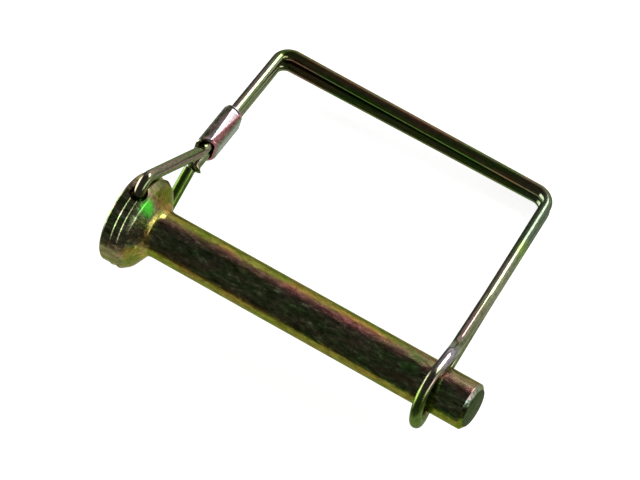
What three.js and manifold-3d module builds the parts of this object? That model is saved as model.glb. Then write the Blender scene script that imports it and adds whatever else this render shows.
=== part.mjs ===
// Square wire lock pin (hitch pin lock), zinc plated steel, modelled in millimetres with +Z up.
//
// Two frames are used while building. In the pin frame the pin's axis is X, running from the head to
// the tip, the cross hole's axis is Z, and the two meet at the origin. The bail frame is the pin frame
// rolled about X, so that the square wire bail lies in its XY plane. The finished assembly is then
// pitched about Y and lifted, so that it lies at rest on Z = 0 on its head rim, its loop and its bar.
import * as THREE from "three";
import { mergeVertices } from "three/addons/utils/BufferGeometryUtils.js";
import Module from "manifold-3d";

// Headed pin: a cold-headed 3/8 inch shank
const SHANK_RADIUS = 9.525 / 2;
const HEAD_FACE_X = -3.0;
const HEAD_FACE_RADIUS = 9.2;
const RIM_RADIUS = 9.6;
const RIM_REAR_RADIUS = 9.45;
const TIP_X = 75.6;
const TIP_CHAMFER_RADIAL = 0.95;
const TIP_CHAMFER_AXIAL = 0.75;
const CROSS_HOLE_RADIUS = 1.6;
const HOLE_MOUTH_RADIUS = 1.95;

// Square bail of doubled spring wire, in the bail frame
const WIRE_RADIUS = 2.35 / 2;
const STRAND_OFFSET = 1.22;
const BAR_Y = 53.7;
const LEFT_CORNER_X = -2.2;
const RIGHT_CORNER_X = 60.1;
const LEFT_FOOT_X = 1.2;
const LOOP_X = 66.7;
const LEFT_CORNER_RADIUS = 2.6;
const RIGHT_CORNER_RADIUS = 3.6;
const BAIL_ROLL = THREE.MathUtils.degToRad(-7.8);
const LEG_SKEW = 0.17;
const BAR_SKEW_LEFT = 0.38;
const BAR_SKEW_RIGHT = -0.17;

// The right leg's strands part at the neck and straddle the shank as a hairpin loop near the tip
const NECK_TOP_Y = 24;
const NECK_Y = 9;
const NECK_HALF_WIDTH = 2.6;
const NECK_TWIST = 0.3;
const LOOP_TOP_Y = 3.8;
const LOOP_HALF_WIDTH = 6.15;
const LOOP_STRAIGHT_END_Y = -1.6;
const LOOP_TWIST = 1.0;
const SNAP_CUT_X = RIGHT_CORNER_X - 4.2;
const CUT_GAP = 0.4;

// Arms that carry the bail in the cross hole
const FRONT_BEND_Z = 13.4;
const BACK_BEND_Z = -12.35;
const ARM_BEND_RADIUS = 2.5;
const FREE_END_Y = 18.9;
const END_GAP_Y = 0.65;

// Crimped ferrule on the left leg
const FERRULE_BOTTOM_Y = 23.2;
const FERRULE_LENGTH = 10.5;
const FERRULE_BORE_RADIUS = 1.4;
const FERRULE_WALL = 0.75;
const FERRULE_BOTTOM_SLANT = 0.42;
const FERRULE_TOP_SLANT = -0.12;

const WIRE_SIDES = 16;
const REST_PITCH = THREE.MathUtils.degToRad(2.4);

const wasm = await Module();
wasm.setup();

function solidFrom(geometry) {
  const plain = geometry.clone();
  plain.deleteAttribute("normal");
  plain.deleteAttribute("uv");
  const merged = mergeVertices(plain);
  return new wasm.Manifold(new wasm.Mesh({
    numProp: 3,
    vertProperties: merged.attributes.position.array,
    triVerts: new Uint32Array(merged.index.array),
  }));
}

function geometryFrom(solid) {
  const mesh = solid.getMesh();
  const geometry = new THREE.BufferGeometry();
  geometry.setAttribute("position", new THREE.BufferAttribute(mesh.vertProperties, 3));
  geometry.setIndex(new THREE.BufferAttribute(mesh.triVerts, 1));
  geometry.computeVertexNormals();
  return geometry;
}

// A round wire's centre line: straight runs between vertices, each rounded to its own bend radius.
// Stations lie only where the wire turns, so the long straight runs cost no triangles.
class BentWire extends THREE.Curve {
  constructor(vertices, turnPerStation = Math.PI / 12) {
    super();
    this.stations = [];
    vertices.forEach(({ at, bend }, i) => {
      if (!bend) {
        const along = i === 0 ? vertices[1].at.clone().sub(at) : at.clone().sub(vertices[i - 1].at);
        this.stations.push({ point: at, tangent: along.normalize() });
        return;
      }
      const toPrevious = vertices[i - 1].at.clone().sub(at).normalize();
      const toNext = vertices[i + 1].at.clone().sub(at).normalize();
      const turn = Math.PI - toPrevious.angleTo(toNext);
      const bisector = toPrevious.clone().add(toNext).normalize();
      const centre = at.clone().addScaledVector(bisector, bend / Math.cos(turn / 2));
      const axis = toNext.clone().cross(toPrevious).normalize();
      const start = at.clone().addScaledVector(toPrevious, bend * Math.tan(turn / 2)).sub(centre);
      const count = Math.max(2, Math.ceil(turn / turnPerStation));
      for (let k = 0; k <= count; k++) {
        const angle = turn * k / count;
        this.stations.push({
          point: start.clone().applyAxisAngle(axis, angle).add(centre),
          tangent: toPrevious.clone().negate().applyAxisAngle(axis, angle),
        });
      }
    });
  }

  stationAt(u) {
    return this.stations[Math.round(u * (this.stations.length - 1))];
  }

  getPointAt(u, target = new THREE.Vector3()) {
    return target.copy(this.stationAt(u).point);
  }

  getTangentAt(u, target = new THREE.Vector3()) {
    return target.copy(this.stationAt(u).tangent);
  }
}

function wireGeometry(vertices) {
  const path = new BentWire(vertices);
  const section = new THREE.Shape();
  for (let k = 0; k < WIRE_SIDES; k++) {
    const angle = 2 * Math.PI * k / WIRE_SIDES;
    const x = WIRE_RADIUS * Math.cos(angle);
    const y = WIRE_RADIUS * Math.sin(angle);
    if (k === 0) section.moveTo(x, y);
    else section.lineTo(x, y);
  }
  return new THREE.ExtrudeGeometry(section, { steps: path.stations.length - 1, extrudePath: path });
}

// Points on the two legs' centre lines, and the same point in the bail frame for one in the pin frame
const leftLegX = (y) => THREE.MathUtils.mapLinear(y, 0, BAR_Y, LEFT_FOOT_X, LEFT_CORNER_X);
const rightLegX = (y) => THREE.MathUtils.mapLinear(y, 0, BAR_Y, LOOP_X, RIGHT_CORNER_X);
const fromPinFrame = (x, y, z) => new THREE.Vector3(x, y, z).applyAxisAngle(new THREE.Vector3(1, 0, 0), -BAIL_ROLL);

// side is +1 for the front strand and -1 for the back strand
const strandPoint = (side, x, y, skewX = 0, skewY = 0) =>
  new THREE.Vector3(x + side * skewX, y + side * skewY, side * STRAND_OFFSET);

const barSkew = (x) => THREE.MathUtils.mapLinear(x, LEFT_CORNER_X, RIGHT_CORNER_X, BAR_SKEW_LEFT, BAR_SKEW_RIGHT);

function pinGeometry() {
  const shoulderRadius = SHANK_RADIUS + 1.1;
  const profile = [
    [0, HEAD_FACE_X],
    [HEAD_FACE_RADIUS, HEAD_FACE_X],
    [HEAD_FACE_RADIUS + 0.2, HEAD_FACE_X + 0.15],
    [RIM_RADIUS - 0.12, HEAD_FACE_X + 0.6],
    [RIM_RADIUS, -0.6],
    [RIM_REAR_RADIUS, 1.0],
    [9.25, 1.6],
    [8.75, 2.1],
    [shoulderRadius, 3.85],
    [SHANK_RADIUS + 0.35, 4.45],
    [SHANK_RADIUS, 5.3],
    [SHANK_RADIUS, TIP_X - TIP_CHAMFER_AXIAL],
    [SHANK_RADIUS - TIP_CHAMFER_RADIAL, TIP_X],
    [0, TIP_X],
  ].map(([radius, along]) => new THREE.Vector2(radius, along));
  const body = new THREE.LatheGeometry(profile, 48).rotateZ(-Math.PI / 2);
  const mouth = RIM_RADIUS - 0.7;
  const drill = [
    [0, -RIM_RADIUS - 1],
    [HOLE_MOUTH_RADIUS + 0.3, -RIM_RADIUS - 1],
    [HOLE_MOUTH_RADIUS, -RIM_RADIUS],
    [CROSS_HOLE_RADIUS, -mouth],
    [CROSS_HOLE_RADIUS, mouth],
    [HOLE_MOUTH_RADIUS, RIM_RADIUS],
    [HOLE_MOUTH_RADIUS + 0.3, RIM_RADIUS + 1],
    [0, RIM_RADIUS + 1],
  ].map(([radius, along]) => new THREE.Vector2(radius, along));
  const hole = new THREE.LatheGeometry(drill, 24).rotateX(Math.PI / 2);
  return geometryFrom(solidFrom(body).subtract(solidFrom(hole)));
}

// The back strand's half of the bail: its sheared free end, the ferrule, the left leg and the bar
function freeEndStrandGeometry() {
  const side = -1;
  return wireGeometry([
    { at: strandPoint(side, leftLegX(FREE_END_Y), FREE_END_Y, LEG_SKEW) },
    { at: strandPoint(side, LEFT_CORNER_X, BAR_Y, LEG_SKEW, BAR_SKEW_LEFT), bend: LEFT_CORNER_RADIUS },
    { at: strandPoint(side, SNAP_CUT_X, BAR_Y, 0, barSkew(SNAP_CUT_X)) },
  ]);
}

// The front strand's half: the bar, the left leg, the ferrule, the front arm, the cross hole and the
// back arm, whose end stops just short of the other strand's free end
function headStrandGeometry() {
  const side = 1;
  return wireGeometry([
    { at: strandPoint(side, SNAP_CUT_X, BAR_Y, 0, barSkew(SNAP_CUT_X)) },
    { at: strandPoint(side, LEFT_CORNER_X, BAR_Y, LEG_SKEW, BAR_SKEW_LEFT), bend: LEFT_CORNER_RADIUS },
    { at: strandPoint(side, leftLegX(FERRULE_BOTTOM_Y), FERRULE_BOTTOM_Y - 1.5, LEG_SKEW), bend: 3 },
    { at: fromPinFrame(0, 0, FRONT_BEND_Z), bend: ARM_BEND_RADIUS },
    { at: fromPinFrame(0, 0, BACK_BEND_Z), bend: ARM_BEND_RADIUS },
    { at: new THREE.Vector3(leftLegX(FREE_END_Y) - 0.5, FREE_END_Y - END_GAP_Y, -STRAND_OFFSET - 0.3) },
  ]);
}

// The right corner, the right leg and the hairpin loop round the shank, as one bent length of wire
function snapLoopGeometry() {
  const down = new THREE.Vector3(LOOP_X - RIGHT_CORNER_X, -BAR_Y, 0).normalize();
  const half = (side) => {
    const start = SNAP_CUT_X + CUT_GAP;
    const along = (y, z, skew = LEG_SKEW) => new THREE.Vector3(rightLegX(y) + side * skew, y, side * z);
    const bottom = along(LOOP_STRAIGHT_END_Y, LOOP_HALF_WIDTH, 0).addScaledVector(down, LOOP_HALF_WIDTH);
    return [
      { at: strandPoint(side, start, BAR_Y, 0, barSkew(start)) },
      { at: strandPoint(side, RIGHT_CORNER_X, BAR_Y, LEG_SKEW, BAR_SKEW_RIGHT), bend: RIGHT_CORNER_RADIUS },
      { at: along(NECK_TOP_Y, STRAND_OFFSET + 0.05), bend: 12 },
      { at: along(NECK_Y, NECK_HALF_WIDTH, NECK_TWIST), bend: 7 },
      { at: along(LOOP_TOP_Y, LOOP_HALF_WIDTH, LOOP_TWIST), bend: 4.5 },
      { at: bottom.setZ(side * LOOP_HALF_WIDTH), bend: LOOP_HALF_WIDTH - 0.1 },
    ];
  };
  return wireGeometry([...half(1), ...half(-1).reverse()]);
}

function ovalOutline(outline, radius) {
  outline.absarc(STRAND_OFFSET, 0, radius, -Math.PI / 2, Math.PI / 2);
  outline.absarc(-STRAND_OFFSET, 0, radius, Math.PI / 2, 3 * Math.PI / 2);
  outline.closePath();
  return outline;
}

// An oval sleeve closed on both strands, with both of its ends askew after crimping.
// The outline's X is the bail's thickness direction and its Y points to the tip's side.
function ferruleGeometry() {
  const sleeve = ovalOutline(new THREE.Shape(), FERRULE_BORE_RADIUS + FERRULE_WALL);
  sleeve.holes.push(ovalOutline(new THREE.Path(), FERRULE_BORE_RADIUS));
  const geometry = new THREE.ExtrudeGeometry(sleeve, {
    depth: FERRULE_LENGTH, bevelEnabled: false, curveSegments: 12,
  });
  const corners = geometry.attributes.position;
  for (let i = 0; i < corners.count; i++) {
    const slant = corners.getZ(i) > 0 ? FERRULE_TOP_SLANT : FERRULE_BOTTOM_SLANT;
    corners.setZ(i, corners.getZ(i) + slant * corners.getY(i));
  }
  const up = new THREE.Vector3(LEFT_CORNER_X - LEFT_FOOT_X, BAR_Y, 0).normalize();
  const across = new THREE.Vector3(LEG_SKEW, 0, STRAND_OFFSET).projectOnPlane(up).normalize();
  geometry.applyMatrix4(new THREE.Matrix4().makeBasis(across, up.clone().cross(across), up));
  return geometry.translate(leftLegX(FERRULE_BOTTOM_Y), FERRULE_BOTTOM_Y, 0);
}

function part(name, geometry, color, roughness) {
  const material = new THREE.MeshStandardMaterial({ color, roughness, metalness: 1 });
  const mesh = new THREE.Mesh(geometry, material);
  mesh.name = name;
  return mesh;
}

const bail = new THREE.Group();
bail.rotation.x = BAIL_ROLL;
bail.add(
  part("free_end_strand", freeEndStrandGeometry(), 0x6f7660, 0.3),
  part("head_strand", headStrandGeometry(), 0x6f7660, 0.3),
  part("snap_loop", snapLoopGeometry(), 0x6f7660, 0.3),
  part("ferrule", ferruleGeometry(), 0x8f8270, 0.35),
);

const lockPin = new THREE.Group();
lockPin.add(part("headed_pin", pinGeometry(), 0x4d4a22, 0.4), bail);
lockPin.rotation.y = REST_PITCH;
lockPin.updateMatrixWorld(true);

// Rest on Z = 0, with the origin under the middle of the assembly's box
const box = new THREE.Box3().setFromObject(lockPin, true);
const middle = box.getCenter(new THREE.Vector3());
lockPin.position.set(-middle.x, -middle.y, -box.min.z);

export default lockPin;
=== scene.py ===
# Looks for the hitch pin lock: a headed pin, one long doubled spring wire and a crimped ferrule, all in
# yellow zinc plate. Lengths below are millimetres in the frames named next to them; SCALE makes metres.
import math

import bmesh
import bpy
import numpy as np
from mathutils import Matrix, Vector


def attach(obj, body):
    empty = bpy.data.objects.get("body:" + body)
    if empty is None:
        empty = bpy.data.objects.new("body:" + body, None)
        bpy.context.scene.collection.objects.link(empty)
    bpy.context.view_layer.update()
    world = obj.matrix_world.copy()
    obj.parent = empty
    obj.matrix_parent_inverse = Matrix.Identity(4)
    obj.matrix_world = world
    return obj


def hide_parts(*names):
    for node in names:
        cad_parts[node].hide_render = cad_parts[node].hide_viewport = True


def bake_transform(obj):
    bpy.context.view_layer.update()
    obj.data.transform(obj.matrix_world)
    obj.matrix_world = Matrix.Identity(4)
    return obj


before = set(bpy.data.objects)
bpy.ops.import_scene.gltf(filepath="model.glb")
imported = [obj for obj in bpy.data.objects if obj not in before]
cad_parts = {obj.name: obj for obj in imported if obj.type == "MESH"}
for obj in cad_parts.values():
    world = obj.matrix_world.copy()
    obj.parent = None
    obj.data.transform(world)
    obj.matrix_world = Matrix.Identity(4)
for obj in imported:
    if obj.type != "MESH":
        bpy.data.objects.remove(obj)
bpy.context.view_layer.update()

SCALE = 0.001

# ---------------------------------------------------------------- camera
# Looking down at the part from beyond its tip, with a slight roll.
CAMERA_AZIMUTH, CAMERA_ELEVATION, CAMERA_ROLL = map(math.radians, (33.988, 53.872, -0.946))
CAMERA_DISTANCE = 0.9427
CAMERA_AIM = Vector((-0.00546, -0.00625, 0.010))
LENS_MM = 277.57

back = Vector((math.sin(CAMERA_AZIMUTH) * math.cos(CAMERA_ELEVATION),
               -math.cos(CAMERA_AZIMUTH) * math.cos(CAMERA_ELEVATION),
               math.sin(CAMERA_ELEVATION)))
level_right = Vector((math.cos(CAMERA_AZIMUTH), math.sin(CAMERA_AZIMUTH), 0))
right = level_right * math.cos(CAMERA_ROLL) + back.cross(level_right) * math.sin(CAMERA_ROLL)
camera_data = bpy.data.cameras.new("camera")
camera_data.sensor_width = 36
camera_data.lens = LENS_MM
camera_data.clip_start = 0.05
camera_data.clip_end = 50
camera = bpy.data.objects.new("camera", camera_data)
camera.matrix_world = Matrix.Translation(CAMERA_AIM + back * CAMERA_DISTANCE) @ Matrix(
    (right, back.cross(right), back)).transposed().to_4x4()
bpy.context.scene.collection.objects.link(camera)
bpy.context.scene.camera = camera

# ---------------------------------------------------------------- dimensions shared with the CAD
HOLE_CENTRE = np.array([-35.996, -22.642, 12.081])
REST_PITCH = math.radians(2.4)
BAIL_ROLL = math.radians(-7.8)
SHANK_RADIUS = 9.525 / 2
HEAD_FACE_X, TIP_X = -3.0, 75.6
RIM_RADIUS = 9.6
CROSS_HOLE_RADIUS = 1.6
WIRE_RADIUS = 2.35 / 2
STRAND_OFFSET = 1.22
BAR_Y = 53.7
LEFT_CORNER_X, RIGHT_CORNER_X = -2.2, 60.1
LEFT_FOOT_X, LOOP_X = 1.2, 66.7
LEG_SKEW, BAR_SKEW_LEFT, BAR_SKEW_RIGHT = 0.17, 0.38, -0.17
LOOP_HALF_WIDTH, LOOP_STRAIGHT_END_Y = 6.15, -1.6
FERRULE_BOTTOM_Y, FERRULE_LENGTH = 23.2, 10.5
FERRULE_BOTTOM_SLANT, FERRULE_TOP_SLANT = 0.42, -0.12
FREE_END_Y = 18.9

# ---------------------------------------------------------------- dimensions of the looks only
TIP_CHAMFER_AXIAL, TIP_CHAMFER_RADIAL = 0.77, 0.93
FRONT_BEND_Z, BACK_BEND_Z = 13.4, -12.35
FERRULE_OUTER_RADIUS, FERRULE_BORE_RADIUS = 2.13, 1.38
WIRE_SIDES, SHEAR_LIP = 28, np.array([1.05, -0.5, 0.1])

c, s = math.cos(REST_PITCH), math.sin(REST_PITCH)
PITCH = np.array([[c, 0, s], [0, 1, 0], [-s, 0, c]])
c, s = math.cos(BAIL_ROLL), math.sin(BAIL_ROLL)
ROLL = np.array([[1, 0, 0], [0, c, -s], [0, s, c]])


def pin_to_world(points):
    return (np.asarray(points, float) @ PITCH.T + HOLE_CENTRE) * SCALE


def bail_to_world(points):
    return pin_to_world(np.asarray(points, float) @ ROLL.T)


def pin_to_bail(x, y, z):
    return np.array([x, y, z]) @ ROLL


# ---------------------------------------------------------------- mesh helpers
def new_object(name, vertices, faces):
    mesh = bpy.data.meshes.new(name)
    mesh.from_pydata([tuple(v) for v in vertices], [], faces)
    mesh.polygons.foreach_set("use_smooth", [True] * len(mesh.polygons))
    mesh.update()
    piece = bpy.data.objects.new(name, mesh)
    bpy.context.scene.collection.objects.link(piece)
    return piece


def add_point_vector(piece, name, values):
    layer = piece.data.attributes.new(name, "FLOAT_VECTOR", "POINT")
    layer.data.foreach_set("vector", np.asarray(values, np.float32).ravel())


def ring_faces(rings, sides, closed_ends=True, around_again=False):
    faces = []
    for i in range(rings if around_again else rings - 1):
        for k in range(sides):
            a, b = i * sides + k, i * sides + (k + 1) % sides
            up = ((i + 1) % rings) * sides - i * sides
            faces.append((a, b, b + up, a + up))
    if closed_ends and not around_again:
        faces.append(tuple(range(sides))[::-1])
        faces.append(tuple((rings - 1) * sides + k for k in range(sides)))
    return faces


def rounded(corners, step_angle=math.radians(6)):
    """A polyline through corners [(point, bend radius)], with each bend rounded."""
    corners = [(np.asarray(p, float), r) for p, r in corners]
    out = [corners[0][0]]
    for (before, _), (at, radius), (after, _) in zip(corners, corners[1:], corners[2:]):
        u, v = before - at, after - at
        u, v = u / np.linalg.norm(u), v / np.linalg.norm(v)
        turn = math.pi - math.acos(np.clip(u @ v, -1, 1))
        if radius == 0 or turn < 1e-4:
            out.append(at)
            continue
        bisector = (u + v) / np.linalg.norm(u + v)
        centre = at + bisector * radius / math.cos(turn / 2)
        start = at + u * radius * math.tan(turn / 2) - centre
        side = -u
        count = max(2, math.ceil(turn / step_angle))
        for k in range(count + 1):
            angle = turn * k / count
            out.append(centre + start * math.cos(angle) + side * radius * math.sin(angle))
    out.append(corners[-1][0])
    return np.array(out)


def resampled(line, step):
    """The same line with extra stations, so that no run is longer than step."""
    out = [line[0]]
    for a, b in zip(line, line[1:]):
        count = max(1, math.ceil(np.linalg.norm(b - a) / step))
        out += [a + (b - a) * k / count for k in range(1, count + 1)]
    return np.array(out)


# ---------------------------------------------------------------- pin
# ((x, radius), rounding) of each corner in the pin frame: two fine beads run round the rim
PIN_PROFILE = [
    ((HEAD_FACE_X, 0), 0), ((HEAD_FACE_X, 9.18), 0.18), ((-2.66, 9.50), 0.3),
    ((-0.9, 9.45), 0.08), ((-0.6, RIM_RADIUS), 0.1), ((-0.32, 9.45), 0.08),
    ((0.55, 9.40), 0.08), ((0.85, 9.54), 0.08), ((1.35, 9.2), 0.3),
    ((2.1, 8.66), 1.2), ((3.85, 5.86), 1.0), ((4.5, 5.02), 1.1), ((5.4, SHANK_RADIUS), 2.2),
    ((TIP_X - TIP_CHAMFER_AXIAL, SHANK_RADIUS), 0.25), ((TIP_X, SHANK_RADIUS - TIP_CHAMFER_RADIAL), 0.22),
    ((TIP_X, 0), 0),
]


def revolved_normals(along, radial_unit, radius, profile):
    """Surface normals of a revolved profile [(along, radius)] at points given by along and radius."""
    edges = np.diff(profile, axis=0)
    lengths = np.linalg.norm(edges, axis=1)
    flat = np.stack([-edges[:, 1], edges[:, 0]], 1) / lengths[:, None]
    at_vertex = np.vstack([flat[:1], flat[:-1] + flat[1:], flat[-1:]])
    at_vertex /= np.linalg.norm(at_vertex, axis=1)[:, None]
    points = np.stack([along, radius], 1)
    rel = points[:, None, :] - profile[None, :-1, :]
    t = np.clip((rel * edges).sum(2) / lengths ** 2, 0, 1)
    best = np.linalg.norm(rel - t[:, :, None] * edges, axis=2).argmin(1)
    t = t[np.arange(len(points)), best][:, None]
    normal = at_vertex[best] * (1 - t) + at_vertex[best + 1] * t
    return normal[:, :1], normal[:, 1:] * radial_unit


def revolve(profile, axis, sides):
    """A closed solid of revolution about 'x' or 'z', from an [(along, radius)] profile on the axis."""
    inner = profile[1:-1]
    angles = 2 * math.pi * np.arange(sides) / sides
    along = np.repeat(inner[:, 0], sides)
    across = np.outer(inner[:, 1], np.cos(angles)).ravel(), np.outer(inner[:, 1], np.sin(angles)).ravel()
    order = (along, *across) if axis == "x" else (*across, along)
    ends = [(p[0], 0, 0) if axis == "x" else (0, 0, p[0]) for p in (profile[0], profile[-1])]
    vertices = np.vstack([np.stack(order, 1), ends])
    rings = len(inner)
    faces = ring_faces(rings, sides, closed_ends=False)
    first, last = rings * sides, rings * sides + 1
    faces += [(first, (k + 1) % sides, k) for k in range(sides)]
    faces += [(last, (rings - 1) * sides + k, (rings - 1) * sides + (k + 1) % sides) for k in range(sides)]
    return vertices, faces


def outward(piece):
    bm = bmesh.new()
    bm.from_mesh(piece.data)
    bmesh.ops.recalc_face_normals(bm, faces=bm.faces)
    bm.to_mesh(piece.data)
    bm.free()


def build_pin():
    line = rounded(PIN_PROFILE, math.radians(9))
    profile = np.vstack([line[:1], resampled(line[1:-1], 1.6), line[-1:]])
    vertices, faces = revolve(profile, "x", 144)
    pin = new_object("headed_pin_plated", vertices, faces)
    outward(pin)
    drill_half = rounded([((0, CROSS_HOLE_RADIUS), 0), ((RIM_RADIUS - 0.75, CROSS_HOLE_RADIUS), 1.2),
                          ((RIM_RADIUS, 2.0), 0.9), ((RIM_RADIUS + 0.25, 2.9), 0),
                          ((RIM_RADIUS + 1, 5), 0)], math.radians(9))
    drill = np.vstack([[(-RIM_RADIUS - 1, 0)], (drill_half * (-1, 1))[::-1], drill_half[1:],
                       [(RIM_RADIUS + 1, 0)]])
    vertices, faces = revolve(drill, "z", 64)
    cutter = new_object("drill", vertices, faces)
    outward(cutter)
    cut = pin.modifiers.new("cross_hole", "BOOLEAN")
    cut.operation, cut.solver, cut.object = "DIFFERENCE", "EXACT", cutter
    evaluated = pin.evaluated_get(bpy.context.evaluated_depsgraph_get())
    holed = bpy.data.meshes.new_from_object(evaluated)
    pin.modifiers.clear()
    pin.data = holed
    bpy.data.objects.remove(cutter, do_unlink=True)

    mesh = pin.data
    at = np.empty(len(mesh.vertices) * 3)
    mesh.vertices.foreach_get("co", at)
    at = at.reshape(-1, 3)
    from_hole = np.hypot(at[:, 0], at[:, 1])
    wall = np.interp(np.abs(at[:, 2]), drill[len(drill) // 2:, 0], drill[len(drill) // 2:, 1])
    in_hole = (np.abs(from_hole - wall) < 2e-3) & (np.abs(at[:, 2]) > 0.5) & (from_hole < 4)
    loop_vertex = np.empty(len(mesh.loops), int)
    mesh.loops.foreach_get("vertex_index", loop_vertex)
    is_hole_loop = np.zeros(len(mesh.loops), bool)
    for polygon in mesh.polygons:
        if in_hole[list(polygon.vertices)].all():
            radial = np.array([polygon.center.x, polygon.center.y])
            if radial @ np.array(polygon.normal[:2]) < -0.15 * np.linalg.norm(radial):
                is_hole_loop[polygon.loop_start:polygon.loop_start + polygon.loop_total] = True
    p = at[loop_vertex]
    radius = np.hypot(p[:, 1], p[:, 2])
    unit = p[:, 1:] / np.maximum(radius, 1e-9)[:, None]
    normal_x, normal_yz = revolved_normals(p[:, 0], unit, radius, profile)
    outer = np.hstack([normal_x, normal_yz])
    hole_radius = np.hypot(p[:, 0], p[:, 1])
    unit = p[:, :2] / np.maximum(hole_radius, 1e-9)[:, None]
    normal_z, normal_xy = revolved_normals(p[:, 2], unit, hole_radius, drill)
    inner = -np.hstack([normal_xy, normal_z])
    normals = np.where(is_hole_loop[:, None], inner, outer)
    flat_end = (np.abs(p[:, 0] - HEAD_FACE_X) < 1e-4) | (np.abs(p[:, 0] - TIP_X) < 1e-4)
    flat_end &= radius < 1e-6
    normals[flat_end] = np.stack([np.sign(p[flat_end, 0] - 1), 0 * p[flat_end, 0], 0 * p[flat_end, 0]], 1)
    add_point_vector(pin, "place", at)
    mesh.vertices.foreach_set("co", pin_to_world(at).ravel())
    mesh.polygons.foreach_set("use_smooth", [True] * len(mesh.polygons))
    mesh.update()
    normals = normals @ PITCH.T
    mesh.normals_split_custom_set([tuple(n) for n in normals / np.linalg.norm(normals, axis=1)[:, None]])
    return pin


# ---------------------------------------------------------------- spring wire
def left_leg_x(y):
    return LEFT_FOOT_X + (LEFT_CORNER_X - LEFT_FOOT_X) * y / BAR_Y


def right_leg_x(y):
    return LOOP_X + (RIGHT_CORNER_X - LOOP_X) * y / BAR_Y


def strand(side, x, y, skew_x=0, skew_y=0):
    return np.array([x + side * skew_x, y + side * skew_y, side * STRAND_OFFSET])


def right_leg(side):
    """Corners of one strand from the bar's right end to the bottom of the loop round the shank."""
    down = np.array([LOOP_X - RIGHT_CORNER_X, -BAR_Y, 0])
    down /= np.linalg.norm(down)

    def on_leg(y, z, skew=LEG_SKEW):
        return np.array([right_leg_x(y) + side * skew, y, side * z])

    bottom = on_leg(LOOP_STRAIGHT_END_Y, LOOP_HALF_WIDTH, 0) + down * LOOP_HALF_WIDTH
    return [
        (strand(side, RIGHT_CORNER_X, BAR_Y, LEG_SKEW, BAR_SKEW_RIGHT), 3.6),
        (on_leg(24, STRAND_OFFSET + 0.05), 12),
        (on_leg(9, 2.6, 0.3), 7),
        (on_leg(3.8, LOOP_HALF_WIDTH, 1.0), 4.5),
        (bottom, LOOP_HALF_WIDTH - 0.1),
    ]


def wire_corners():
    back_corner = strand(-1, LEFT_CORNER_X, BAR_Y, LEG_SKEW, BAR_SKEW_LEFT)
    front_corner = strand(1, LEFT_CORNER_X, BAR_Y, LEG_SKEW, BAR_SKEW_LEFT)
    return [
        (strand(-1, left_leg_x(FREE_END_Y), FREE_END_Y, LEG_SKEW), 0),
        (back_corner, 2.6),
        *right_leg(-1), *right_leg(1)[::-1],
        (front_corner, 2.6),
        (strand(1, left_leg_x(FERRULE_BOTTOM_Y), FERRULE_BOTTOM_Y - 1.5, LEG_SKEW), 3),
        (pin_to_bail(0, 0, FRONT_BEND_Z), 2.5),
        (pin_to_bail(0, 0, BACK_BEND_Z), 2.5),
        (np.array([left_leg_x(FREE_END_Y) - 0.7, FREE_END_Y - 0.1, -STRAND_OFFSET - 0.45]), 0),
    ]


def build_wire(sides=WIRE_SIDES):
    line = resampled(rounded(wire_corners(), math.radians(5)), 0.9)
    steps = np.linalg.norm(np.diff(line, axis=0), axis=1)
    run = np.concatenate([[0], np.cumsum(steps)])
    tangents = np.gradient(line, axis=0)
    tangents /= np.linalg.norm(tangents, axis=1)[:, None]
    side_dir = np.array([0.0, 0.0, 1.0])
    angles = 2 * math.pi * np.arange(sides) / sides
    rings, place = [], []
    # (offset, share of the radius) at the two sheared ends: a slightly rounded edge
    ends = [(0.0, 0.90), (0.10, 0.985), (0.25, 1.0)]
    for i, (point, tangent) in enumerate(zip(line, tangents)):
        side_dir = side_dir - tangent * (side_dir @ tangent)
        side_dir /= np.linalg.norm(side_dir)
        other = np.cross(tangent, side_dir)
        around = np.outer(np.cos(angles), side_dir) + np.outer(np.sin(angles), other)
        stations = [(0.0, 1.0)]
        if i == 0:
            stations = ends
        elif i == len(line) - 1:
            stations = [(-d, r) for d, r in ends[::-1]]
        for offset, size in stations:
            radius = WIRE_RADIUS * size
            ring = point + tangent * offset + around * radius
            if i == 0:
                # the cutter leaves a thin lip towards the pin's tip on the free end
                lean = np.clip(around @ np.array([0.98, 0, 0.2]), 0, 1) ** 3
                reach = np.interp(offset, [0, 0.25], [1.0, 0.5])
                ring = ring + lean[:, None] * SHEAR_LIP * reach
            rings.append(ring)
            place.append(np.stack([np.full(sides, run[i] + offset),
                                   np.cos(angles) * WIRE_RADIUS, np.sin(angles) * WIRE_RADIUS], 1))
    wire = new_object("spring_wire", bail_to_world(np.vstack(rings)), ring_faces(len(rings), sides))
    outward(wire)
    add_point_vector(wire, "place", np.vstack(place))
    add_point_vector(wire, "spot", np.vstack(rings))
    return wire


# ---------------------------------------------------------------- crimped ferrule
def oval(sides, radius):
    """The outline round both strands: x across the bail's thickness, y across one strand."""
    straight = 2 * STRAND_OFFSET
    perimeter = 2 * straight + 2 * math.pi * radius
    out = []
    for k in range(sides):
        d = perimeter * k / sides
        if d < straight:
            out.append((d - STRAND_OFFSET, -radius))
        elif d < straight + math.pi * radius:
            a = (d - straight) / radius - math.pi / 2
            out.append((STRAND_OFFSET + radius * math.cos(a), radius * math.sin(a)))
        elif d < 2 * straight + math.pi * radius:
            out.append((STRAND_OFFSET - (d - straight - math.pi * radius), radius))
        else:
            a = (d - 2 * straight - math.pi * radius) / radius + math.pi / 2
            out.append((-STRAND_OFFSET + radius * math.cos(a), radius * math.sin(a)))
    return np.array(out)


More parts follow.
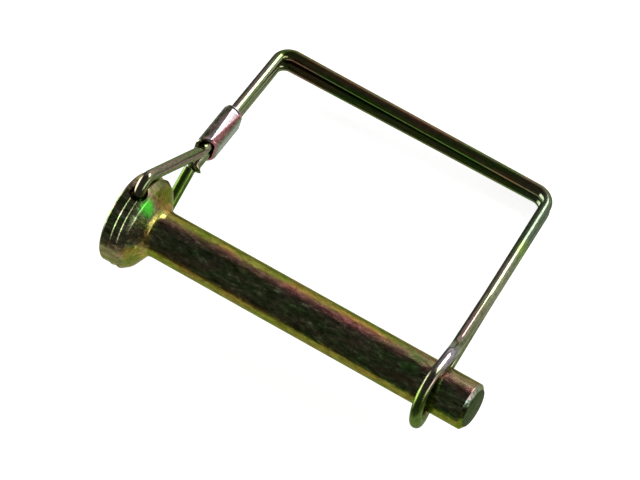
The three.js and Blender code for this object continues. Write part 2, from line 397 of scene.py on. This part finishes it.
def build_ferrule(sides=120, rings=46):
    up = np.array([LEFT_CORNER_X - LEFT_FOOT_X, BAR_Y, 0])
    up /= np.linalg.norm(up)
    across = np.array([LEG_SKEW, 0, STRAND_OFFSET])
    across -= up * (across @ up)
    across /= np.linalg.norm(across)
    beside = np.cross(up, across)
    base = np.array([left_leg_x(FERRULE_BOTTOM_Y), FERRULE_BOTTOM_Y, 0])
    outer, inner = oval(sides, FERRULE_OUTER_RADIUS), oval(sides, FERRULE_BORE_RADIUS)
    # pressed flats: angle from the front towards the pin's tip, depth at the bottom and at the top
    flats = [(19, 3.24, 2.80), (50, 2.60, 2.70), (-14, 3.06, 3.14), (-55, 2.66, 2.74), (128, 2.74, 2.62),
             (188, 3.12, 3.05), (232, 2.70, 2.76)]
    loops, place = [], []
    for wall, direction in ((outer, 1), (inner, -1)):
        for j in range(rings):
            t = j / (rings - 1)
            if direction < 0:
                t = 1 - t
            shape = wall.copy()
            if direction > 0:
                for angle, low, high in flats:
                    angle = math.radians(angle + 6 * (t - 0.5))
                    n = np.array([math.cos(angle), math.sin(angle)])
                    depth = low + (high - low) * t
                    over = np.maximum(shape @ n - depth, 0)
                    press = min(1, t / 0.08, (1 - t) / 0.05)
                    shape = shape - np.outer(over * 0.92 * press, n)
                edge = min(t, 1 - t) * FERRULE_LENGTH
                shape = shape * (1 - 0.045 * max(0, 1 - edge / 0.22) ** 2)
            else:
                edge = min(t, 1 - t) * FERRULE_LENGTH
                shape = shape * (1 + 0.06 * max(0, 1 - edge / 0.3))
            slant = FERRULE_BOTTOM_SLANT * (1 - t) + FERRULE_TOP_SLANT * t
            along = t * FERRULE_LENGTH + slant * shape[:, 1]
            section = np.outer(shape[:, 0], across) + np.outer(shape[:, 1], beside)
            loops.append(base + section + np.outer(along, up))
            place.append(np.stack([along, shape[:, 0], shape[:, 1]], 1))
    ferrule = new_object("crimped_ferrule", bail_to_world(np.vstack(loops)),
                         ring_faces(len(loops), sides, around_again=True))
    outward(ferrule)
    add_point_vector(ferrule, "place", np.vstack(place))
    ferrule.data.set_sharp_from_angle(angle=math.radians(24))
    return ferrule


# ---------------------------------------------------------------- materials
class Nodes:
    """A small builder for node trees."""

    def __init__(self, material):
        material.use_nodes = True
        self.tree = material.node_tree
        self.tree.nodes.clear()
        self.surface = self.add("ShaderNodeBsdfPrincipled")
        output = self.add("ShaderNodeOutputMaterial")
        self.link(self.surface.outputs["BSDF"], output.inputs["Surface"])

    def add(self, kind, **settings):
        node = self.tree.nodes.new(kind)
        for key, value in settings.items():
            setattr(node, key, value)
        return node

    def link(self, a, b):
        self.tree.links.new(a, b)

    def attribute(self, name):
        return self.add("ShaderNodeAttribute", attribute_name=name).outputs["Vector"]

    def stretched(self, vector, scale):
        node = self.add("ShaderNodeMapping")
        node.inputs["Scale"].default_value = scale
        self.link(vector, node.inputs["Vector"])
        return node.outputs["Vector"]

    def noise(self, vector, scale, detail=4.0, roughness=0.55, distortion=0.0):
        node = self.add("ShaderNodeTexNoise")
        self.link(vector, node.inputs["Vector"])
        for key, value in (("Scale", scale), ("Detail", detail), ("Roughness", roughness),
                           ("Distortion", distortion)):
            node.inputs[key].default_value = value
        return node.outputs["Fac"]

    def ramp(self, value, stops):
        node = self.add("ShaderNodeValToRGB")
        elements = node.color_ramp.elements
        while len(elements) < len(stops):
            elements.new(0.5)
        for element, (at, colour) in zip(elements, stops):
            element.position = at
            element.color = (*colour, 1) if not isinstance(colour, (int, float)) else (colour,) * 3 + (1,)
        self.link(value, node.inputs["Fac"])
        return node.outputs["Color"]

    def mix(self, factor, a, b, blend="MIX"):
        node = self.add("ShaderNodeMix", data_type="RGBA", blend_type=blend)
        for socket, value in ((node.inputs[0], factor), (node.inputs[6], a), (node.inputs[7], b)):
            if isinstance(value, bpy.types.NodeSocket):
                self.link(value, socket)
            else:
                socket.default_value = (*value, 1) if isinstance(value, tuple) else value
        return node.outputs[2]

    def math(self, operation, a, b=0.0):
        node = self.add("ShaderNodeMath", operation=operation)
        for socket, value in ((node.inputs[0], a), (node.inputs[1], b)):
            if isinstance(value, bpy.types.NodeSocket):
                self.link(value, socket)
            else:
                socket.default_value = value
        return node.outputs[0]

    def near(self, name, centre, inner, outer):
        """1 within inner of a place (mm, in the named attribute), falling to 0 at outer."""
        away = self.add("ShaderNodeVectorMath", operation="DISTANCE")
        self.link(self.attribute(name), away.inputs[0])
        away.inputs[1].default_value = centre
        fade = self.add("ShaderNodeMapRange", interpolation_type="SMOOTHSTEP")
        for socket, value in zip(fade.inputs[1:5], (inner, outer, 1.0, 0.0)):
            socket.default_value = value
        self.link(away.outputs["Value"], fade.inputs[0])
        return fade.outputs[0]

    def step(self, value, start, end):
        """0 before start and 1 after end, with start and end in either order."""
        fade = self.add("ShaderNodeMapRange", interpolation_type="SMOOTHSTEP")
        for socket, item in zip(fade.inputs[1:5], (start, end, 0.0, 1.0)):
            socket.default_value = item
        self.link(value, fade.inputs[0])
        return fade.outputs[0]

    def parts(self, vector):
        node = self.add("ShaderNodeSeparateXYZ")
        self.link(vector, node.inputs[0])
        return node.outputs[:3]

    def bump(self, height, strength, distance, normal=None):
        node = self.add("ShaderNodeBump")
        node.inputs["Strength"].default_value = strength
        node.inputs["Distance"].default_value = distance
        self.link(height, node.inputs["Height"])
        if normal is not None:
            self.link(normal, node.inputs["Normal"])
        return node.outputs["Normal"]


def pin_material():
    """Cold-headed, tumbled and yellow zinc plated: dark olive gold with rose and green blooms."""
    material = bpy.data.materials.new("pin_yellow_zinc")
    n = Nodes(material)
    place = n.attribute("place")
    cloud = n.noise(n.stretched(place, (0.10, 0.30, 0.30)), 1.0, 5, 0.6, 0.8)
    # blooms of the chromate film run along the pin; the turn about its axis is 0 at the front
    x, y, z = n.parts(place)
    turn = n.math("ARCTAN2", n.math("MULTIPLY", y, -1.0), z)
    turn = n.math("ADD", n.math("MULTIPLY", turn, 0.5 / math.pi), 0.5)
    turn = n.math("ADD", turn, n.math("MULTIPLY", n.math("SUBTRACT", cloud, 0.5), 0.05))
    hue = n.ramp(turn, [(0.02, (0.34, 0.33, 0.07)), (0.22, (0.36, 0.24, 0.13)), (0.34, (0.20, 0.27, 0.05)),
                        (0.425, (0.31, 0.30, 0.06)), (0.452, (0.44, 0.36, 0.08)), (0.468, (0.42, 0.24, 0.13)),
                        (0.50, (0.42, 0.22, 0.18)), (0.54, (0.28, 0.28, 0.17)), (0.69, (0.25, 0.28, 0.13)),
                        (0.715, (0.38, 0.35, 0.05)), (0.81, (0.26, 0.30, 0.09)), (0.92, (0.40, 0.30, 0.13))])
    # near the tip the upper edge turns from green to rose brown
    upper_edge = n.math("MULTIPLY", n.step(turn, 0.36, 0.40), n.step(turn, 0.50, 0.47))
    rosy = n.math("MULTIPLY", n.step(x, 54, 63), upper_edge)
    hue = n.mix(n.math("MULTIPLY", rosy, 0.8), hue, (0.36, 0.25, 0.17))
    # the tip's chamfer and end face, the foot of the shoulder, and the rim; the chamfer is paler where its
    # highlight falls (painted highlight), and the gold band at the shoulder's foot is partly painted
    # highlight
    # painted highlight: the chamfer's upper part is pale where its highlight falls, and it turns dark green
    # further round
    chamfer_highlight = n.ramp(turn, [(0.48, (0.40, 0.41, 0.30)), (0.56, (0.42, 0.44, 0.40)),
                            (0.62, (0.12, 0.14, 0.05)), (0.75, (0.24, 0.27, 0.03))])
    hue = n.mix(n.step(x, TIP_X - 0.95, TIP_X - 0.75), hue, chamfer_highlight)
    end_face = n.step(x, TIP_X - 0.15, TIP_X - 0.02)
    hue = n.mix(end_face, hue, (0.085, 0.105, 0.075))
    # gold ring at the foot of the shoulder: partly plating colour, partly a painted highlight that brightens
    # the highlight ring there
    hue = n.mix(n.math("MULTIPLY", n.step(x, 3.6, 4.0), n.step(x, 5.5, 4.9)), hue, (0.52, 0.42, 0.12))
    hue = n.mix(n.math("MULTIPLY", n.step(x, 2.6, 1.4), 0.6), hue, (0.41, 0.36, 0.24))
    patch = n.ramp(cloud, [(0.36, (0.62, 0.95, 0.52)), (0.50, (1.0, 1.0, 1.0)), (0.62, (1.25, 0.82, 0.98))])
    hue = n.mix(0.8, hue, patch, "MULTIPLY")
    mottle = n.ramp(n.noise(n.stretched(place, (0.42, 1.2, 1.2)), 1.0, 8, 0.72, 0.5),
                    [(0.38, (0.35, 0.40, 0.32)), (0.46, (0.8, 1.0, 0.85)), (0.51, (1.05, 0.8, 0.85)),
                     (0.56, (1.0, 1.35, 1.2)), (0.66, (2.5, 2.8, 2.7))])
    front = n.math("MULTIPLY", n.step(turn, 0.49, 0.53), n.step(turn, 0.75, 0.70))
    hue = n.mix(front, hue, mottle, "MULTIPLY")
    fine = n.noise(n.stretched(place, (0.55, 1.3, 1.3)), 1.0, 8, 0.72, 0.4)
    colour = n.mix(1.0, hue, n.ramp(fine, [(0.36, 0.45), (0.52, 0.9), (0.66, 1.3)]), "MULTIPLY")
    # a vivid green bloom on the shoulder, beside the cross hole, and a darker one before the loop
    for centre, inner, outer, patchy, green in (
            ((2.55, -0.9, 7.6), 0.5, 2.6, [(0.38, 0.55), (0.55, 1.0)], (0.09, 0.95, 0.05)),
            ((62.3, -0.9, 4.7), 0.3, 3.2, [(0.42, 0.1), (0.56, 0.9)], (0.12, 0.42, 0.07))):
        bloom = n.math("MULTIPLY", n.near("place", centre, inner, outer), n.ramp(fine, patchy))
        colour = n.mix(bloom, colour, green)
    n.link(colour, n.surface.inputs["Base Color"])
    haze = n.noise(n.stretched(place, (0.35, 1.1, 1.1)), 1.0, 8, 0.74, 0.3)
    rough = n.ramp(haze, [(0.40, 0.16), (0.53, 0.24), (0.62, 0.42), (0.72, 0.58)])
    n.link(rough, n.surface.inputs["Roughness"])
    n.surface.inputs["Metallic"].default_value = 1.0
    n.link(n.mix(end_face, (0.74, 0.76, 0.44), (0.52, 0.57, 0.42)), n.surface.inputs["Specular Tint"])
    grain = n.noise(n.stretched(place, (2.0, 6.0, 6.0)), 1.0, 5, 0.6)
    soft = n.bump(fine, 0.22, 0.00004)
    n.link(n.bump(grain, 0.20, 0.000012, soft), n.surface.inputs["Normal"])
    return material


def wire_material():
    """Drawn spring wire: fine lengthways streaks of olive, green and rose in the zinc's film."""
    material = bpy.data.materials.new("wire_yellow_zinc")
    n = Nodes(material)
    place = n.attribute("place")
    streak = n.noise(n.stretched(place, (0.05, 1.5, 1.5)), 1.0, 5, 0.6, 0.2)
    hue = n.ramp(streak, [(0.34, (0.16, 0.32, 0.09)), (0.45, (0.33, 0.40, 0.19)),
                          (0.53, (0.42, 0.42, 0.27)), (0.61, (0.52, 0.34, 0.36)),
                          (0.72, (0.24, 0.38, 0.15))])
    fine = n.noise(n.stretched(place, (0.9, 2.6, 2.6)), 1.0, 7, 0.7)
    colour = n.mix(1.0, hue, n.ramp(fine, [(0.32, 0.45), (0.52, 0.9), (0.68, 1.15)]), "MULTIPLY")
    rough = n.ramp(n.noise(n.stretched(place, (0.3, 1.5, 1.5)), 1.0, 5, 0.6), [(0.35, 0.09), (0.7, 0.20)])
    # the film is darker along the bar and towards the pin
    _, y, _ = n.parts(n.attribute("spot"))
    bar_film = n.ramp(n.noise(n.stretched(place, (0.08, 0.5, 0.5)), 1.0, 4, 0.6),
                      [(0.40, (0.34, 0.62, 0.20)), (0.50, (0.58, 0.60, 0.40)), (0.60, (0.85, 0.50, 0.42))])
    colour = n.mix(n.step(y, BAR_Y - 3, BAR_Y - 1), colour, bar_film, "MULTIPLY")
    colour = n.mix(n.step(y, 22, 19), colour, (0.84, 0.78, 0.80), "MULTIPLY")
    # places with a tone of their own, and on the loop's front a paler, glossier tint that whitens the
    # highlight there (painted highlight): centre and radii (mm, bail frame), tone, roughness
    back_arm = ((0.5, 11.5, -6.5), 7.0, 11.0)
    right_corner = ((61.0, 44, 1.2), 6.0, 14.0)
    upper_leg = ((63.6, 38, 0), 1.0, 4.0)
    # painted highlight: a pale pinkish tint with low roughness where the loop's front shows its highlight
    loop_front_highlight = ((66.6, 3.0, 5.0), 2.5, 6.5)
    loop_bottom = ((67.5, -8, 0), 4.0, 7.5)
    for spot, tone, dull in ((back_arm, (0.13, 0.24, 0.03), 0.26),
                             (right_corner, (0.19, 0.24, 0.16), 0.17),
                             (upper_leg, (0.36, 0.54, 0.10), 0.14),
                             (loop_front_highlight, (0.50, 0.44, 0.48), 0.12),
                             (loop_bottom, (0.19, 0.30, 0.06), 0.30)):
        share = n.near("spot", *spot)
        mottled = n.mix(1.0, tone, n.ramp(fine, [(0.32, 0.4), (0.66, 1.2)]), "MULTIPLY")
        colour = n.mix(share, colour, mottled)
        rough = n.mix(share, rough, (dull, dull, dull))
    n.link(colour, n.surface.inputs["Base Color"])
    n.link(rough, n.surface.inputs["Roughness"])
    # the thick film on the back arm is cloudy between its streaks
    cloudy = n.math("MULTIPLY", n.near("spot", *back_arm), n.ramp(streak, [(0.42, 1.0), (0.54, 0.1)]))
    n.link(n.math("SUBTRACT", 1.0, n.math("MULTIPLY", cloudy, 0.45)), n.surface.inputs["Metallic"])
    n.surface.inputs["Specular Tint"].default_value = (0.62, 0.70, 0.50, 1)
    lines = n.noise(n.stretched(place, (0.12, 5.0, 5.0)), 1.0, 4, 0.6)
    soft = n.bump(fine, 0.22, 0.00003)
    n.link(n.bump(lines, 0.35, 0.000015, soft), n.surface.inputs["Normal"])
    return material


def ferrule_material():
    """Stamped sleeve, crimped after plating: olive, with rose flats where the tool pressed."""
    material = bpy.data.materials.new("ferrule_yellow_zinc")
    n = Nodes(material)
    place = n.attribute("place")
    cloud = n.noise(n.stretched(place, (0.3, 0.55, 0.55)), 1.0, 6, 0.6, 0.5)
    hue = n.ramp(cloud, [(0.32, (0.22, 0.30, 0.13)), (0.46, (0.42, 0.38, 0.24)),
                         (0.58, (0.55, 0.34, 0.33)), (0.7, (0.36, 0.42, 0.22))])
    x, _, z = n.parts(place)
    # the rose flat widens downwards, beside the pale one that reaches the bottom in a point; the pale flat's
    # tint is a painted highlight where the key light's reflection falls
    hue = n.mix(1.0, hue, n.ramp(cloud, [(0.40, 0.35), (0.60, 1.0)]), "MULTIPLY")
    # painted reflection: a pale green strip along one long edge, where the bright surroundings show at the
    # silhouette
    hue = n.mix(n.step(z, -1.5, -1.9), hue, (0.40, 0.46, 0.32))
    # painted highlight: the flat that catches the key light is tinted pinkish white
    hue = n.mix(n.step(z, -0.6, -0.2), hue, (0.44, 0.375, 0.40))
    beside_pale = n.math("SUBTRACT", z, n.math("MULTIPLY", x, 0.085))
    hue = n.mix(n.step(beside_pale, 0.35, 0.6), hue, (0.56, 0.25, 0.24))
    hue = n.mix(n.step(z, 1.65, 1.95), hue, (0.34, 0.42, 0.26))
    fine = n.noise(n.stretched(place, (1.5, 2.5, 2.5)), 1.0, 7, 0.7)
    colour = n.mix(1.0, hue, n.ramp(fine, [(0.3, 0.5), (0.55, 0.95), (0.7, 1.2)]), "MULTIPLY")
    n.link(colour, n.surface.inputs["Base Color"])
    n.link(n.ramp(fine, [(0.35, 0.20), (0.7, 0.34)]), n.surface.inputs["Roughness"])
    n.surface.inputs["Metallic"].default_value = 1.0
    n.link(n.bump(fine, 0.2, 0.00003), n.surface.inputs["Normal"])
    return material


def dress(piece, material):
    piece.data.materials.clear()
    piece.data.materials.append(material)


pin = build_pin()
dress(pin, pin_material())
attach(pin, "pin")
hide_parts("headed_pin")

wire = build_wire()
dress(wire, wire_material())
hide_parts("free_end_strand", "head_strand", "snap_loop")
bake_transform(wire)

ferrule = build_ferrule()
dress(ferrule, ferrule_material())
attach(ferrule, "bail")
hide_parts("ferrule")


# ---------------------------------------------------------------- floor and light
def build_floor():
    bm = bmesh.new()
    bmesh.ops.create_grid(bm, x_segments=8, y_segments=8, size=6)
    mesh = bpy.data.meshes.new("floor")
    bm.to_mesh(mesh)
    bm.free()
    floor = bpy.data.objects.new("floor", mesh)
    bpy.context.scene.collection.objects.link(floor)
    material = bpy.data.materials.new("floor_paper")
    n = Nodes(material)
    n.surface.inputs["Base Color"].default_value = (0.7, 0.7, 0.7, 1)
    n.surface.inputs["Roughness"].default_value = 0.9
    n.surface.inputs["Specular IOR Level"].default_value = 0.0
    n.surface.inputs["Emission Color"].default_value = (1, 1, 1, 1)
    n.surface.inputs["Emission Strength"].default_value = 0.86
    floor.data.materials.append(material)
    # what the plating mirrors is shaped by the studio's cards, as in build_world
    floor.visible_glossy = False
    return floor


def softbox(name, direction, distance, width, height, strength):
    light = bpy.data.lights.new(name, "AREA")
    light.shape, light.size, light.size_y = "RECTANGLE", width, height
    area = width * height
    light.energy = strength * area * math.pi
    box = bpy.data.objects.new(name, light)
    direction = Vector(direction).normalized()
    facing = direction.to_track_quat("Z", "Y").to_matrix().to_4x4()
    box.matrix_world = Matrix.Translation(direction * distance) @ facing
    bpy.context.scene.collection.objects.link(box)


def build_world():
    """A dark studio: a pale sweep behind, a card off each end of the pin and one straight below."""
    world = bpy.data.worlds.new("studio")
    bpy.context.scene.world = world
    world.use_nodes = True
    tree = world.node_tree
    tree.nodes.clear()

    def value(operation, a, b=0.0):
        node = tree.nodes.new("ShaderNodeMath")
        node.operation = operation
        for socket, item in zip(node.inputs, (a, b)):
            if isinstance(item, bpy.types.NodeSocket):
                tree.links.new(item, socket)
            else:
                socket.default_value = item
        return node.outputs[0]

    def curve(item, stops):
        """Brightness along item, from stops [(where in -1..1, brightness)]."""
        node = tree.nodes.new("ShaderNodeValToRGB")
        elements = node.color_ramp.elements
        while len(elements) < len(stops):
            elements.new(0.5)
        for element, (at, level) in zip(elements, stops):
            element.position, element.color = (at + 1) / 2, (level, level, level, 1)
        tree.links.new(value("MULTIPLY", value("ADD", item, 1.0), 0.5), node.inputs["Fac"])
        return node.outputs["Color"]

    coordinate = tree.nodes.new("ShaderNodeTexCoord")
    split = tree.nodes.new("ShaderNodeSeparateXYZ")
    tree.links.new(coordinate.outputs["Generated"], split.inputs[0])
    x, y, z = split.outputs
    rear = value("MULTIPLY", curve(y, [(0.1, 0), (0.45, 1)]), curve(x, [(-0.75, 0.12), (-0.45, 1)]))
    rear = value("MULTIPLY", rear, curve(z, [(-0.1, 0.5), (0.0, 0.75), (0.3, 0.7), (0.5, 0.38),
                                             (0.75, 0.16), (0.9, 0.0)]))
    tip_end = value("MULTIPLY", curve(x, [(0.8, 0), (0.9, 1.0)]),
                    curve(z, [(0.06, 0), (0.16, 1), (0.4, 1), (0.5, 0)]))
    head_end = value("MULTIPLY", curve(x, [(-0.92, 1), (-0.8, 0)]),
                     curve(z, [(-0.4, 0), (-0.25, 1), (0.36, 1), (0.5, 0)]))
    head_end = value("MULTIPLY", head_end, curve(y, [(0.25, 1), (0.5, 0)]))
    below = curve(z, [(-0.64, 0.55), (-0.52, 0.03)])
    level = value("MAXIMUM", value("MAXIMUM", rear, below), value("MULTIPLY", tip_end, 2.6))
    level = value("ADD", value("MAXIMUM", level, value("MULTIPLY", head_end, 5.0)), 0.035)
    shade = tree.nodes.new("ShaderNodeBackground")
    output = tree.nodes.new("ShaderNodeOutputWorld")
    tree.links.new(level, shade.inputs["Color"])
    tree.links.new(shade.outputs[0], output.inputs["Surface"])


build_floor()
softbox("key", (0.24, 0.72, 0.65), 1.6, 1.1, 0.55, 6.0)
build_world()
bpy.context.scene.view_settings.view_transform = "Standard"
